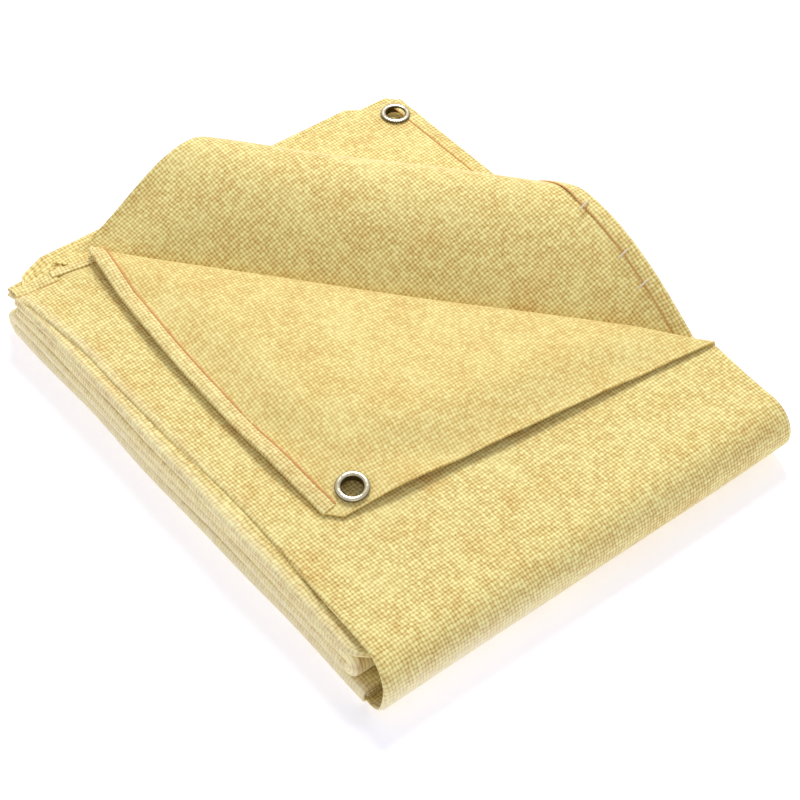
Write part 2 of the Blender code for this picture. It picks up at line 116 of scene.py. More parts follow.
def wovenGlassCloth(name, colours, wornAmount=1.0, contrast=1.0):
    # Plain-woven textured glass yarn: matt, with a painted highlight on the round bead where a yarn passes
    # over and painted shade in the hollows between the beads, paler and smoother where it has been rubbed
    material = bpy.data.materials.new(name)
    material.use_nodes = True
    tree = material.node_tree
    shader = tree.nodes["Principled BSDF"]
    mathNode = "ShaderNodeMath"
    uv = addNode(tree, "ShaderNodeUVMap", {"uv_map": "cloth"}).outputs[0]
    threads = addNode(
        tree, "ShaderNodeMapping", None,
        {"Vector": uv, "Scale": (1 / weave["across"], 1 / weave["along"], 1)},
    ).outputs[0]
    # Yarns wander by a quarter of their spacing
    wander = addNode(tree, "ShaderNodeTexNoise", None, {"Vector": threads, "Scale": 0.25, "Detail": 3.0})
    centred = addNode(
        tree, "ShaderNodeVectorMath", {"operation": "SUBTRACT"},
        {0: wander.outputs["Color"], 1: (0.5, 0.5, 0.5)},
    ).outputs[0]
    pushed = addNode(
        tree, "ShaderNodeVectorMath", {"operation": "MULTIPLY_ADD"},
        {0: centred, 1: (1.3, 1.3, 0), 2: threads},
    ).outputs[0]
    split = addNode(tree, "ShaderNodeSeparateXYZ", None, {0: pushed})
    waves = []
    ridges = []
    for i in (0, 1):
        angle = addNode(tree, mathNode, {"operation": "MULTIPLY"}, {0: split.outputs[i], 1: math.pi})
        wave = addNode(tree, mathNode, {"operation": "SINE"}, {0: angle.outputs[0]})
        size = addNode(tree, mathNode, {"operation": "ABSOLUTE"}, {0: wave.outputs[0]})
        ridge = addNode(tree, mathNode, {"operation": "POWER"}, {0: size.outputs[0], 1: 0.6})
        waves.append(wave.outputs[0])
        ridges.append(ridge.outputs[0])
    # At one crossing the first yarn is on top, at the next the second
    parity = addNode(tree, mathNode, {"operation": "MULTIPLY"}, {0: waves[0], 1: waves[1]}).outputs[0]
    lean = addNode(
        tree, mathNode, {"operation": "MULTIPLY_ADD"}, {0: parity, 1: 0.26, 2: 0.5}
    ).outputs[0]
    step = addNode(tree, mathNode, {"operation": "SUBTRACT"}, {0: ridges[0], 1: ridges[1]}).outputs[0]
    height = addNode(
        tree, mathNode, {"operation": "MULTIPLY_ADD"}, {0: step, 1: lean, 2: ridges[1]}
    ).outputs[0]
    # One bead differs from the next, and loose fibres blur them
    cell = addNode(tree, "ShaderNodeVectorMath", {"operation": "FLOOR"}, {0: pushed}).outputs[0]
    fleck = addNode(
        tree, "ShaderNodeTexWhiteNoise", {"noise_dimensions": "2D"}, {"Vector": cell}
    ).outputs[0]
    fibres = addNode(
        tree, "ShaderNodeTexNoise", None, {"Vector": uv, "Scale": 750.0, "Detail": 2.0}
    ).outputs[0]
    flecked = addNode(
        tree, mathNode, {"operation": "MULTIPLY_ADD"}, {0: fleck, 1: 0.30, 2: height}
    ).outputs[0]
    blurred = addNode(
        tree, mathNode, {"operation": "MULTIPLY_ADD"}, {0: fibres, 1: 0.50, 2: flecked}
    ).outputs[0]
    # Painted highlight and shade: the weave's height, with random tone from bead to bead and the fibres, sets
    # the colour from the pits' painted shade up to the beads' painted highlight
    tone = addNode(
        tree, "ShaderNodeMapRange", None,
        {0: blurred, 1: 0.52, 2: 1.48, 3: 0.5 - 0.5 * contrast, 4: 0.5 + 0.5 * contrast},
    ).outputs[0]
    weaveToneAndShade = addNode(tree, "ShaderNodeValToRGB", None, {0: tone})
    bands = weaveToneAndShade.color_ramp
    bands.elements[0].position = 0.05
    bands.elements[0].color = linear(colours["pit"])
    bands.elements[1].position = 0.95
    bands.elements[1].color = linear(colours["light"])
    for position, key in ((0.30, "deep"), (0.62, "body")):
        bands.elements.new(position).color = linear(colours[key])
    # Broad patches: more orange where the yarn's size is thick, paler where it is thin
    blotch = addNode(
        tree, "ShaderNodeTexNoise", None, {"Vector": uv, "Scale": 30.0, "Detail": 3.0, "Roughness": 0.6}
    ).outputs[0]
    warm = addNode(tree, "ShaderNodeMapRange", None, {0: blotch, 1: 0.50, 2: 0.75, 3: 0.0, 4: 0.28})
    pale = addNode(tree, "ShaderNodeMapRange", None, {0: blotch, 1: 0.48, 2: 0.26, 3: 0.0, 4: 0.30})
    colour = addNode(
        tree, "ShaderNodeMix", {"data_type": "RGBA", "blend_type": "MULTIPLY"},
        {0: warm.outputs[0], 6: weaveToneAndShade.outputs[0], 7: linear(colours["orange"])},
    ).outputs[2]
    colour = addNode(
        tree, "ShaderNodeMix", {"data_type": "RGBA"},
        {0: pale.outputs[0], 6: colour, 7: linear(colours["light"])},
    ).outputs[2]
    # Rubbed parts, in scattered flecks
    wear = addNode(tree, "ShaderNodeAttribute", {"attribute_name": "wear"}).outputs["Fac"]
    patchy = addNode(
        tree, "ShaderNodeTexNoise", None, {"Vector": uv, "Scale": 120.0, "Detail": 5.0, "Roughness": 0.75}
    ).outputs[0]
    scattered = addNode(
        tree, mathNode, {"operation": "MULTIPLY"}, {0: patchy, 1: 1.8 * wornAmount}
    ).outputs[0]
    rubbed = addNode(
        tree, mathNode, {"operation": "MULTIPLY", "use_clamp": True}, {0: wear, 1: scattered}
    ).outputs[0]
    wornTone = addNode(
        tree, "ShaderNodeMix", {"data_type": "RGBA", "blend_type": "MULTIPLY"},
        {0: 0.35, 6: linear(colours["worn"]), 7: weaveToneAndShade.outputs[0]},
    ).outputs[2]
    colour = addNode(
        tree, "ShaderNodeMix", {"data_type": "RGBA"}, {0: rubbed, 6: colour, 7: wornTone}
    ).outputs[2]
    tree.links.new(colour, shader.inputs["Base Color"])
    relief = addNode(
        tree, mathNode, {"operation": "MULTIPLY_ADD"}, {0: fibres, 1: 0.35, 2: height}
    ).outputs[0]
    bump = addNode(
        tree, "ShaderNodeBump", None, {"Strength": 0.40, "Distance": 0.0005, "Height": relief}
    )
    tree.links.new(bump.outputs[0], shader.inputs["Normal"])
    shader.inputs["Roughness"].default_value = 0.75
    shader.inputs["Specular IOR Level"].default_value = 0.30
    shader.inputs["Sheen Weight"].default_value = 0.20
    shader.inputs["Sheen Roughness"].default_value = 0.5
    return material


def sewingThread(name, colour, strandShade):
    # Twisted sewing thread: satin, with painted shade as darker lines between its strands
    material = bpy.data.materials.new(name)
    material.use_nodes = True
    tree = material.node_tree
    shader = tree.nodes["Principled BSDF"]
    uv = addNode(tree, "ShaderNodeUVMap", {"uv_map": "cloth"}).outputs[0]
    wave = addNode(
        tree, "ShaderNodeTexWave", {"bands_direction": "DIAGONAL"},
        {"Vector": uv, "Scale": 700.0, "Distortion": 0.6},
    ).outputs["Fac"]
    mixed = addNode(
        tree, "ShaderNodeMix", {"data_type": "RGBA"}, {0: wave, 6: linear(strandShade), 7: linear(colour)}
    ).outputs[2]
    tree.links.new(mixed, shader.inputs["Base Color"])
    bump = addNode(tree, "ShaderNodeBump", None, {"Strength": 0.5, "Distance": 0.0002, "Height": wave})
    tree.links.new(bump.outputs[0], shader.inputs["Normal"])
    shader.inputs["Roughness"].default_value = 0.6
    return material


def nickelledBrass(name):
    # Pressed brass under thin nickel: bright and a little warm, with fine press marks and scattered brown
    # tarnish, and painted shade, dark brown, where the ring meets the cloth and inside its lip
    material = bpy.data.materials.new(name)
    material.use_nodes = True
    tree = material.node_tree
    shader = tree.nodes["Principled BSDF"]
    spot = addNode(tree, "ShaderNodeTexCoord").outputs["Object"]
    marks = addNode(tree, "ShaderNodeTexNoise", None, {"Vector": spot, "Scale": 600.0, "Detail": 4.0})
    stains = addNode(tree, "ShaderNodeTexNoise", None, {"Vector": spot, "Scale": 160.0, "Detail": 3.0})
    stain = addNode(
        tree, "ShaderNodeMapRange", None, {0: stains.outputs[0], 1: 0.45, 2: 0.75, 3: 0.0, 4: 0.5}
    )
    warm = addNode(
        tree, "ShaderNodeMix", {"data_type": "RGBA"},
        {0: stain.outputs[0], 6: linear("#F1E9CB"), 7: linear("#B39A5E")},
    )
    # painted shade: dark brown at the ring's outer foot and inside its bore
    grime = addNode(tree, "ShaderNodeAttribute", {"attribute_name": "grime"}).outputs["Fac"]
    shadedBrass = addNode(
        tree, "ShaderNodeMix", {"data_type": "RGBA"},
        {0: grime, 6: warm.outputs[2], 7: linear("#4A3C1E")},
    )
    tree.links.new(shadedBrass.outputs[2], shader.inputs["Base Color"])
    rough = addNode(
        tree, "ShaderNodeMapRange", None, {0: marks.outputs[0], 1: 0.3, 2: 0.7, 3: 0.12, 4: 0.28}
    )
    tree.links.new(rough.outputs[0], shader.inputs["Roughness"])
    bump = addNode(
        tree, "ShaderNodeBump", None, {"Strength": 0.15, "Distance": 0.0002, "Height": marks.outputs[0]}
    )
    tree.links.new(bump.outputs[0], shader.inputs["Normal"])
    shader.inputs["Metallic"].default_value = 1.0
    return material


finishes = {
    "cloth": wovenGlassCloth("wovenGlassCloth", clothColours),
    "softCloth": wovenGlassCloth("softenedGlassCloth", clothColours, contrast=0.75),
    "hem": wovenGlassCloth("hemmedGlassCloth", clothColours, wornAmount=1.1),
    # the second colour of each thread is the painted shade in the grooves between its strands
    "seam": sewingThread("orangeSewingThread", "#EAB46E", "#CB8D4C"),
    "tack": sewingThread("whiteSewingThread", "#FBF3E2", "#CDBB95"),
    "brass": nickelledBrass("nickelledBrass"),
}
print("materials ready")


def ripple(a, b, size, height, seed):
    # Slow uneven waves, the same every run
    total = np.zeros(np.broadcast(a, b).shape)
    for k in range(5):
        turn = 2.4 * k + seed
        stretch = 2 * math.pi / (size * (0.7 + 0.23 * k))
        total = total + np.sin((a * math.cos(turn) + b * math.sin(turn)) * stretch + 1.7 * k + 3.1 * seed)
    return total * height / 3.2


def smooth(low, high, value):
    share = np.clip((value - low) / (high - low), 0, 1)
    return share * share * (3 - 2 * share)


def runAlong(line):
    # Length of a line of points from its start to each point
    steps = np.linalg.norm(np.diff(line, axis=0), axis=1)
    return np.concatenate([[0], np.cumsum(steps)])


def gridNormals(mid):
    normal = np.cross(np.gradient(mid, axis=0), np.gradient(mid, axis=1))
    return normal / np.maximum(np.linalg.norm(normal, axis=2, keepdims=True), 1e-12)


def clothMesh(name, mid, uv, material, skin=None, keep=None, wear=None):
    # A sheet of even thickness through a grid of points, closed round its rim and its holes
    rows, columns = mid.shape[:2]
    normal = gridNormals(mid)
    half = (skin or pack["skin"]) / 2
    points = np.concatenate([(mid + normal * half).reshape(-1, 3), (mid - normal * half).reshape(-1, 3)])
    under = rows * columns
    if keep is None:
        keep = np.ones((rows - 1, columns - 1), bool)
    i, j = np.nonzero(keep)
    a = i * columns + j
    quads = np.stack([a, a + columns, a + columns + 1, a + 1], 1)
    faces = [quads, quads[:, ::-1] + under]
    padded = np.zeros((rows + 1, columns + 1), bool)
    padded[1:-1, 1:-1] = keep
    sides = (
        (padded[:-2, 1:-1], 3, 0), (padded[2:, 1:-1], 1, 2),
        (padded[1:-1, :-2], 0, 1), (padded[1:-1, 2:], 2, 3),
    )
    for beside, first, last in sides:
        bare = ~beside[i, j]
        start, end = quads[bare, first], quads[bare, last]
        faces.append(np.stack([end, start, start + under, end + under], 1))
    faces = np.concatenate(faces)
    used = np.unique(faces)
    renumber = np.zeros(len(points), int)
    renumber[used] = np.arange(len(used))
    faces = renumber[faces]
    mesh = bpy.data.meshes.new(name)
    mesh.from_pydata(points[used].tolist(), [], faces.tolist())
    layer = mesh.uv_layers.new(name="cloth")
    flatUv = np.concatenate([uv.reshape(-1, 2)] * 2)[used]
    layer.data.foreach_set("uv", flatUv[faces.ravel()].astype(np.float32).ravel())
    marks = mesh.attributes.new("wear", "FLOAT", "POINT")
    worn = np.zeros((rows, columns)) if wear is None else np.broadcast_to(wear, (rows, columns))
    marks.data.foreach_set("value", np.concatenate([worn.ravel()] * 2)[used].astype(np.float32))
    mesh.shade_smooth()
    mesh.set_sharp_from_angle(angle=math.radians(50))
    mesh.materials.append(material)
    obj = bpy.data.objects.new(name, mesh)
    bpy.context.scene.collection.objects.link(obj)
    return obj


def lengths(mid, row, column):
    # Cloth coordinates from the lengths along one row and one column of the grid
    down = runAlong(mid[:, column])
    over = runAlong(mid[row])
    return np.stack(np.meshgrid(down, over, indexing="ij"), 2)[..., ::-1]


def tube(name, line, radius, material, sides=8):
    # A round thread along a line of points, closed at its ends
    line = np.asarray(line, float)
    ahead = np.gradient(line, axis=0)
    ahead /= np.linalg.norm(ahead, axis=1, keepdims=True)
    side = np.cross(ahead, (0.0, 0.0, 1.0))
    side /= np.maximum(np.linalg.norm(side, axis=1, keepdims=True), 1e-9)
    up = np.cross(side, ahead)
    angles = np.linspace(0, 2 * math.pi, sides, endpoint=False)
    thick = np.full(len(line), radius)
    thick[0] = thick[-1] = radius * 0.5
    ring = side[:, None] * np.cos(angles)[None, :, None] + up[:, None] * np.sin(angles)[None, :, None]
    points = (line[:, None] + ring * thick[:, None, None]).reshape(-1, 3)
    faces = []
    for k in range(len(line) - 1):
        for n in range(sides):
            m = (n + 1) % sides
            faces.append((k * sides + n, k * sides + m, (k + 1) * sides + m, (k + 1) * sides + n))
    faces.append(tuple(range(sides))[::-1])
    faces.append(tuple((len(line) - 1) * sides + n for n in range(sides)))
    run = runAlong(line)
    mesh = bpy.data.meshes.new(name)
    mesh.from_pydata(points.tolist(), [], faces)
    layer = mesh.uv_layers.new(name="cloth")
    for loop in mesh.loops:
        k, n = divmod(loop.vertex_index, sides)
        layer.data[loop.index].uv = (run[k], n / sides * radius * 6)
    mesh.shade_smooth()
    mesh.materials.append(material)
    obj = bpy.data.objects.new(name, mesh)
    bpy.context.scene.collection.objects.link(obj)
    return obj


# The strip's route in the YZ plane: rows of y, z and the direction its outer ply faces


def straight(fromY, toY, z, step):
    count = max(2, int(abs(toY - fromY) / step) + 1)
    y = np.linspace(fromY, toY, count)
    facing = 1.0 if toY < fromY else -1.0
    return np.stack([y, np.full(count, z), np.zeros(count), np.full(count, facing)], 1)


def bend(centreY, centreZ, radius, start, end, steps, outward):
    angle = np.radians(np.linspace(start, end, steps + 1))
    y = centreY + radius * np.cos(angle)
    z = centreZ + radius * np.sin(angle)
    return np.stack([y, z, outward * np.cos(angle), outward * np.sin(angle)], 1)


def route(*stretches):
    joined = [stretches[0]]
    for stretch in stretches[1:]:
        joined.append(stretch[1:])
    return np.concatenate(joined)


leafSection = {
    "sway": 0.0012,  # how unevenly the plies' edges lie
    "swayLength": 0.11,
    "swayWidth": 0.03,
    "sink": 0.0004,  # how unevenly their faces lie
    "sinkLength": 0.09,
    "nest": 0.0016,  # how far inside the outer fold the nested fold lies
    "plySteps": (0.0, 0.04, 0.1, 0.2, 0.5, 0.8, 0.9, 0.96, 1.0),  # denser near the folds
    "turnSteps": 10,
    "outerFullness": 0.40,  # the lower the number, the flatter the fold's face
    "fullness": 0.6,
}


def leafProfile(levels, hemRight, outerSteps=6):
    # The ribbon's section: outer ply, folded side, first ply, fold, second ply, nested fold, third ply
    first, second, third, outer = levels
    left = pack["left"] + pack["inset"]
    right = pack["right"]
    bigRadius = (outer - first) / 2
    smallRadius = (third - second) / 2
    innerRadius = (second - first) / 2
    nestedX = left + pack["skin"] + leafSection["nest"] + smallRadius
    xs, ts = [], []

    def run(fromX, toX, level, shares=leafSection["plySteps"]):
        for share in shares:
            xs.append(fromX + (toX - fromX) * share)
            ts.append(level)

    def turn(x, low, radius, side, upward, fullness=leafSection["fullness"]):
        for k in range(1, leafSection["turnSteps"]):
            angle = math.pi * k / leafSection["turnSteps"]
            xs.append(x + side * radius * math.sin(angle) ** fullness)
            lift = math.copysign(abs(math.cos(angle)) ** 0.8, math.cos(angle))
            ts.append(low + radius * (1 - lift) if upward else low + radius * (1 + lift))

    run(hemRight, left + bigRadius, outer, [step / outerSteps for step in range(outerSteps)] + [1.0])
    turn(left + bigRadius, first, bigRadius, -1, False, leafSection["outerFullness"])
    run(left + bigRadius, right - innerRadius, first)
    turn(right - innerRadius, first, innerRadius, 1, True)
    run(right - innerRadius, nestedX, second)
    turn(nestedX, second, smallRadius, -1, True)
    run(nestedX, right, third)
    return np.array(xs), np.array(ts)


def sweep(path, xs, ts, seed, sway=leafSection["sway"], sink=leafSection["sink"]):
    # Every point of the section carried along the route, with the uneven edges of packed cloth
    y, z, outY, outZ = path.T
    run = runAlong(path[:, :2])[:, None]
    near = smooth(leafSection["swayWidth"], 0.0, np.abs(xs - pack["left"]))[None, :]
    far = smooth(leafSection["swayWidth"], 0.0, np.abs(xs - pack["right"]))[None, :]
    shift = ripple(run, ts[None, :] * 3, leafSection["swayLength"], sway, seed) * (near + far)
    uneven = ripple(run, xs[None, :], leafSection["sinkLength"], sink, seed + 1.3)
    offset = (ts - pack["leaf"] / 2)[None, :] + uneven
    x = xs[None, :] + np.maximum(shift, -sway) + near * sway
    return np.stack(
        [np.broadcast_to(x, offset.shape), y[:, None] + outY[:, None] * offset,
         z[:, None] + outZ[:, None] * offset], 2,
    )


def sideWear(mid):
    # Rubbed along the folded side, and most of all near the ground
    edge = smooth(pack["left"] + 0.010, pack["left"] + 0.002, mid[..., 0])
    foot = smooth(0.026, 0.006, mid[..., 2])
    return edge * (pack["sideWear"] + (0.95 - pack["sideWear"]) * foot)


def blendHalves(piece):
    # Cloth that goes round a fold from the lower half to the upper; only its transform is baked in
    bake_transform(piece)


# Lower half: bottom leaf, end fold and the leaf above it, one strip of cloth

lowerStrip = {
    "step": 0.006,
    "seed": 0.7,
    "upperSeed": 2.1,
    "levels": (0.0008, 0.0034, 0.0060, 0.0088),  # heights of a leaf's four plies
    "innerLength": 0.018,  # half circle of the inner fold, flat
}


def buildLowerStrip():
    lowZ = pack["leaf"] / 2
    highZ = (middleLow.z + middleHigh.z) / 2
    path = route(
        straight(pack["foldY"] - 0.002, pack["lowEnd"], lowZ, lowerStrip["step"]),
        bend(pack["lowEnd"], (lowZ + highZ) / 2, (highZ - lowZ) / 2, -90, 90, 14, 1.0),
        straight(pack["lowEnd"], pack["innerFold"], highZ, lowerStrip["step"]),
    )
    xs, ts = leafProfile(lowerStrip["levels"], pack["right"])
    mid = sweep(path, xs, ts, lowerStrip["seed"])
    mid[..., 2] = np.maximum(mid[..., 2], pack["skin"] / 2)
    uv = lengths(mid, 0, 3)
    piece = clothMesh("lowerStrip", mid, uv, finishes["cloth"], wear=sideWear(mid))
    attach(piece, "lower_half")
    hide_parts("bottom_leaf", "end_fold", "lower_middle_leaf")


def buildInnerStrip():
    lowZ = (middleLow.z + middleHigh.z) / 2
    highZ = (upperLow.z + upperHigh.z) / 2
    path = bend(pack["innerFold"], (lowZ + highZ) / 2, (highZ - lowZ) / 2, -90, -270, 14, -1.0)
    xs, ts = leafProfile(lowerStrip["levels"], pack["right"])
    mid = sweep(path, xs, ts, lowerStrip["seed"])
    uv = lengths(mid, 0, 3)
    piece = clothMesh("innerFoldStrip", mid, uv, finishes["cloth"], wear=sideWear(mid))
    blendHalves(piece)
    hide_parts("inner_fold_lower", "inner_fold_upper")


def buildUpperMiddleStrip():
    z = (upperLow.z + upperHigh.z) / 2
    path = straight(pack["innerFold"], pack["leafEnd"], z, lowerStrip["step"])
    xs, ts = leafProfile(lowerStrip["levels"], pack["right"])
    mid = sweep(path, xs, ts, lowerStrip["upperSeed"])
    uv = lengths(mid, 0, 3)
    piece = clothMesh("upperMiddleStrip", mid, uv, finishes["cloth"], wear=sideWear(mid))
    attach(piece, "upper_half")
    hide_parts("upper_middle_leaf")


# The turned-back corner's lines in plan

along = -np.array(joints["flap_fold"]["axis"][:2])
along /= np.linalg.norm(along)
across = np.array([-along[1], along[0]])  # towards the free corner of the ply below
foldStart = np.array(joints["flap_fold"]["pos_m"][:2])
foldLength = (pack["side"] - 0.002 - foldStart[0]) / along[0]
foldEnd = foldStart + along * foldLength

flap = {
    "edge": 0.257,  # end edge from the fold to the tip
    "lean": 2.6,  # degrees
    "rise": 0.0140,
    "crest": 0.55,
    "bendShare": 0.20,
    "roll": 0.0034,
    "seam": 0.018,  # how far under the flap its cloth starts
    "bow": 0.003,
    "bulge": 0.0105,  # how far the end edge swells out between fold and tip
    "droop": (0.55, 0.60),  # how much of its height the cloth loses along its two free edges
    "droopWidth": 0.060,
    "close": 0.55,  # how much the roll closes up where it meets the hemmed side
    "blunt": 0.0045,  # how much of the tip is cut off
    "rollReach": 0.35,  # how far down the flap the roll still shapes it, as a share of its depth
    "closeFrom": 0.86,  # where along the roll it starts to close
    "droopRows": (0.02, 0.20, 0.66, 0.86),  # where the droop starts, is full, fades and is gone
    "wave": (0.13, 0.0009),
    "seed": 1.9,
    "columns": 100,
    "turnFrom": 0.0014,  # heights over the fold between which the cloth starts to follow the flap
    "turnTo": 0.0045,
    "turnLean": 0.06,  # and how much less height that takes further from the fold
}
tip = foldStart - flap["edge"] * np.array(
    [math.sin(math.radians(flap["lean"])), math.cos(math.radians(flap["lean"]))]
)


def measures(x, y):
    # Distances along the diagonal fold and away from it; the flap lies on the negative side
    dx, dy = x - foldStart[0], y - foldStart[1]
    return dx * along[0] + dy * along[1], dx * across[0] + dy * across[1]


def place(a, v):
    return foldStart[0] + along[0] * a + across[0] * v, foldStart[1] + along[1] * a + across[1] * v


tipAlong, tipAcross = measures(tip[0], tip[1])

# Top ply with the big fold's outer ply, down to the bottom of the pack

topSheet = {
    "stepY": 0.0032,
    "columns": 92,
    "seed": 3.3,
    "sideSlant": 0.0030,  # how far the hemmed side draws in towards the big fold
    "curl": 0.0018,  # radius of the edge that curls down at the left
    "curlTurn": 75,  # degrees
    "wobble": (0.05, 0.0006),  # length and height of each slow wave, as for the sag
    "sag": (0.12, 0.0005),
    "sink": 0.0004,  # how much lower than flat it lies between its edges
    "seamEnd": 0.26,  # how far from the end the hidden seam with the flap goes
    "dip": 0.0032,  # how far its end droops at the folded side
    "dipY": (0.158, 0.178),
    "dipX": (-0.112, -0.150),
    # how its left side wanders: distance from the end along the cloth, and x
    "sideLine": (
        (0.0, -0.1545), (0.02, -0.1500), (0.07, -0.1465), (0.17, -0.1450), (0.22, -0.1435),
        (0.27, -0.1445), (0.31, -0.1470), (0.337, -0.1490), (0.352, -0.1525), (0.363, -0.1555),
        (0.373, -0.1535), (0.384, -0.1510), (0.40, -0.1500),
    ),
}
endSlant = topHigh.y - pack["leafEnd"]  # the end edge runs out towards the folded side


def topEnd(x):
    share = np.clip((foldStart[0] - x) / (foldStart[0] - topLow.x), 0, 1)
    return pack["leafEnd"] + endSlant * share


def endDip(x, y):
    # The loose ends droop a little where they meet the folded side
    return topSheet["dip"] * smooth(*topSheet["dipY"], y) * smooth(*topSheet["dipX"], x)


def sideEdge(y):
    return pack["side"] - topSheet["sideSlant"] * smooth(-0.105, pack["foldY"], y)


def sheetEdge(y):
    # Where the top ply goes on as the turned-back corner: a line hidden under that corner
    start = foldStart - across * flap["seam"]
    return start[0] + (foldEnd[0] - start[0]) * (y - start[1]) / (foldEnd[1] - start[1])


def buildTopSheet():
    leaf = pack["leaf"]
    skin = pack["skin"]
    path = route(
        straight(pack["leafEnd"], pack["foldY"], pack["top"] - leaf / 2, topSheet["stepY"]),
        bend(pack["foldY"], pack["middle"], pack["middle"] - leaf / 2, 90, 270, 26, 1.0),
        straight(pack["foldY"], pack["foldY"] + 0.004, leaf / 2, 0.002),
    )
    y, z, outY, outZ = path.T
    run = runAlong(path[:, :2])[:, None]
    curl = topSheet["curl"]
    turn = np.radians(np.linspace(0, topSheet["curlTurn"], 9))[1:]
    flatCount = topSheet["columns"]
    share = np.concatenate([np.linspace(0, 1, flatCount + 1), np.ones(len(turn))])
    turnX = np.concatenate([np.zeros(flatCount + 1), -curl * np.sin(turn)])
    turnT = np.concatenate([np.zeros(flatCount + 1), -curl * (1 - np.cos(turn))])
    sideRuns, sideXs = np.array(topSheet["sideLine"]).T
    wobble = ripple(run[:, 0], 0, *topSheet["wobble"], topSheet["seed"] + 1.8)
    foldX = np.interp(run[:, 0], sideRuns, sideXs) + curl + wobble
    wrapPart = z < pack["top"] - leaf / 2 - 1e-6
    rightEdge = np.where(wrapPart, sideEdge(pack["foldY"]), np.minimum(sheetEdge(y), sideEdge(y)))
    x = foldX[:, None] + (rightEdge - foldX)[:, None] * (1 - share)[None, :] + turnX[None, :]
    sag = ripple(run, x, *topSheet["sag"], topSheet["seed"]) - topSheet["sink"]
    seamNear = smooth(0.02, 0.0, rightEdge[:, None] - x) * ~wrapPart[:, None] * (run < topSheet["seamEnd"])
    offset = (leaf / 2 - skin / 2) + turnT[None, :] + sag * (1 - seamNear)
    endShift = (topEnd(x) - pack["leafEnd"]) * smooth(0.10, 0.0, run)
    dip = endDip(x, y[:, None] + endShift) * ~wrapPart[:, None]
    mid = np.stack(
        [x, y[:, None] + outY[:, None] * offset + endShift, z[:, None] + outZ[:, None] * offset - dip],
        2,
    )
    mid[..., 2] = np.maximum(mid[..., 2], skin / 2)
    arcs = np.concatenate([np.zeros(flatCount + 1), curl * turn])
    down = runAlong(mid[:, flatCount // 2, 1:])[:, None] - endShift
    uv = np.stack([x - turnX[None, :] - arcs[None, :], down], 2)
    # rubbed low on the big fold, most at its open end, and along the edge that curls down
    lowBand = smooth(-0.170, -0.183, mid[..., 1]) * smooth(0.034, 0.014, mid[..., 2])
    leftPart = smooth(0.05, -0.10, mid[..., 0])
    edgeBand = smooth(0.006, 0.0, x - foldX[:, None]) * smooth(0.30, 0.05, run)
    wear = np.maximum(edgeBand * 0.40, lowBand * (0.05 + 0.95 * leftPart))
    piece = clothMesh("topSheet", mid, uv, finishes["cloth"], wear=wear)
    blendHalves(piece)
    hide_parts("top_sheet", "outer_fold_upper", "outer_fold_lower")
    return piece, mid


hump = {
    "start": -0.006,  # all distances from the diagonal fold
    "axis": 0.0049,
    "crest": 0.072,
    "foot": 0.125,
    "rise": 0.0452,
    "lift": 0.0026,  # height left over at the far corner
    "lag": 0.55,  # how much later the cut end rises than the middle
    "lagWidth": 0.045,
    "wave": (0.12, 0.0012),
    "seed": 4.4,
    "turnFrom": 0.001,  # between these the cloth starts to follow the raised corner
    "turnTo": 0.009,
    "rows": 128,
    "columns": 128,
}
upperPlies = {
    "levels": (0.0008, 0.0027, 0.0046, 0.0068),  # the last is the second ply, under the top ply
    "outerSteps": 75,  # fine enough to cut this ply off along the diagonal fold
    "sway": 0.0010,
    "sink": 0.0002,
    "setback": 0.017,  # how far the bundle keeps back from the open end of the big fold
    "pinch": 0.56,  # how much flatter the bundle is at its folded side, near the big fold
    "end": 0.184,
    "peek": 0.0105,  # how far a lower ply shows beyond it
}


def buildUpperPlies():
    # The upper leaf under the top ply, and the inside of the big fold
    leaf = pack["leaf"]
    path = route(
        straight(pack["leafEnd"], pack["foldY"], pack["top"] - leaf / 2, 0.004),
        bend(pack["foldY"], pack["middle"], pack["middle"] - leaf / 2, 90, 270, 20, 1.0),
    )
    run = runAlong(path[:, :2])[:, None]
    xs, ts = leafProfile(upperPlies["levels"], underHigh.x, upperPlies["outerSteps"])
    mid = sweep(path, xs, ts, topSheet["seed"], upperPlies["sway"], upperPlies["sink"])
    x = mid[..., 0]
    nearLeft = smooth(pack["left"] + 0.045, pack["left"], x)
    late = smooth(0.21, 0.33, run) * nearLeft
    pinched = ts[None, :] * (1 - upperPlies["pinch"] * late)
    outward = pinched - ts[None, :]
    mid[..., 1] += path[:, 2:3] * outward
    mid[..., 2] += path[:, 3:4] * outward
    mid[..., 0] += upperPlies["setback"] * smooth(0.325, 0.345, run) * nearLeft
    # its end runs out past the top ply's, and the ply beneath further still
    order = np.arange(len(xs))
    outer = (order <= upperPlies["outerSteps"])[None, :]
    second = (order >= len(xs) - len(leafSection["plySteps"]) + 1)[None, :]
    out = smooth(0.05, 0.0, run)
    mid[..., 1] += outer * (upperPlies["end"] - pack["leafEnd"]) * out
    reach = upperPlies["end"] - pack["leafEnd"] + upperPlies["peek"] * smooth(-0.150, -0.120, x)
    mid[..., 1] += second * reach * out * smooth(0.150, 0.120, x)
    mid[..., 2] -= (endDip(mid[..., 0], mid[..., 1]) + 0.0003) * outer * (run < 0.30)
    # and it is cut away where its own corner rises
    away = measures(mid[..., 0], mid[..., 1])[1]
    level = mid[..., 2] > pack["top"] - leaf
    cell = (away[:-1, :-1] > hump["start"] + 0.001) & outer[:, :-1] & level[:-1, :-1]
    uv = lengths(mid, -1, 3)
    piece = clothMesh("upperPlies", mid, uv, finishes["cloth"], keep=~cell, wear=sideWear(mid))
    blendHalves(piece)
    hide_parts("upper_leaf", "under_sheet")


# The turned-back corner: from the seam under it, round the soft roll and out to its tip


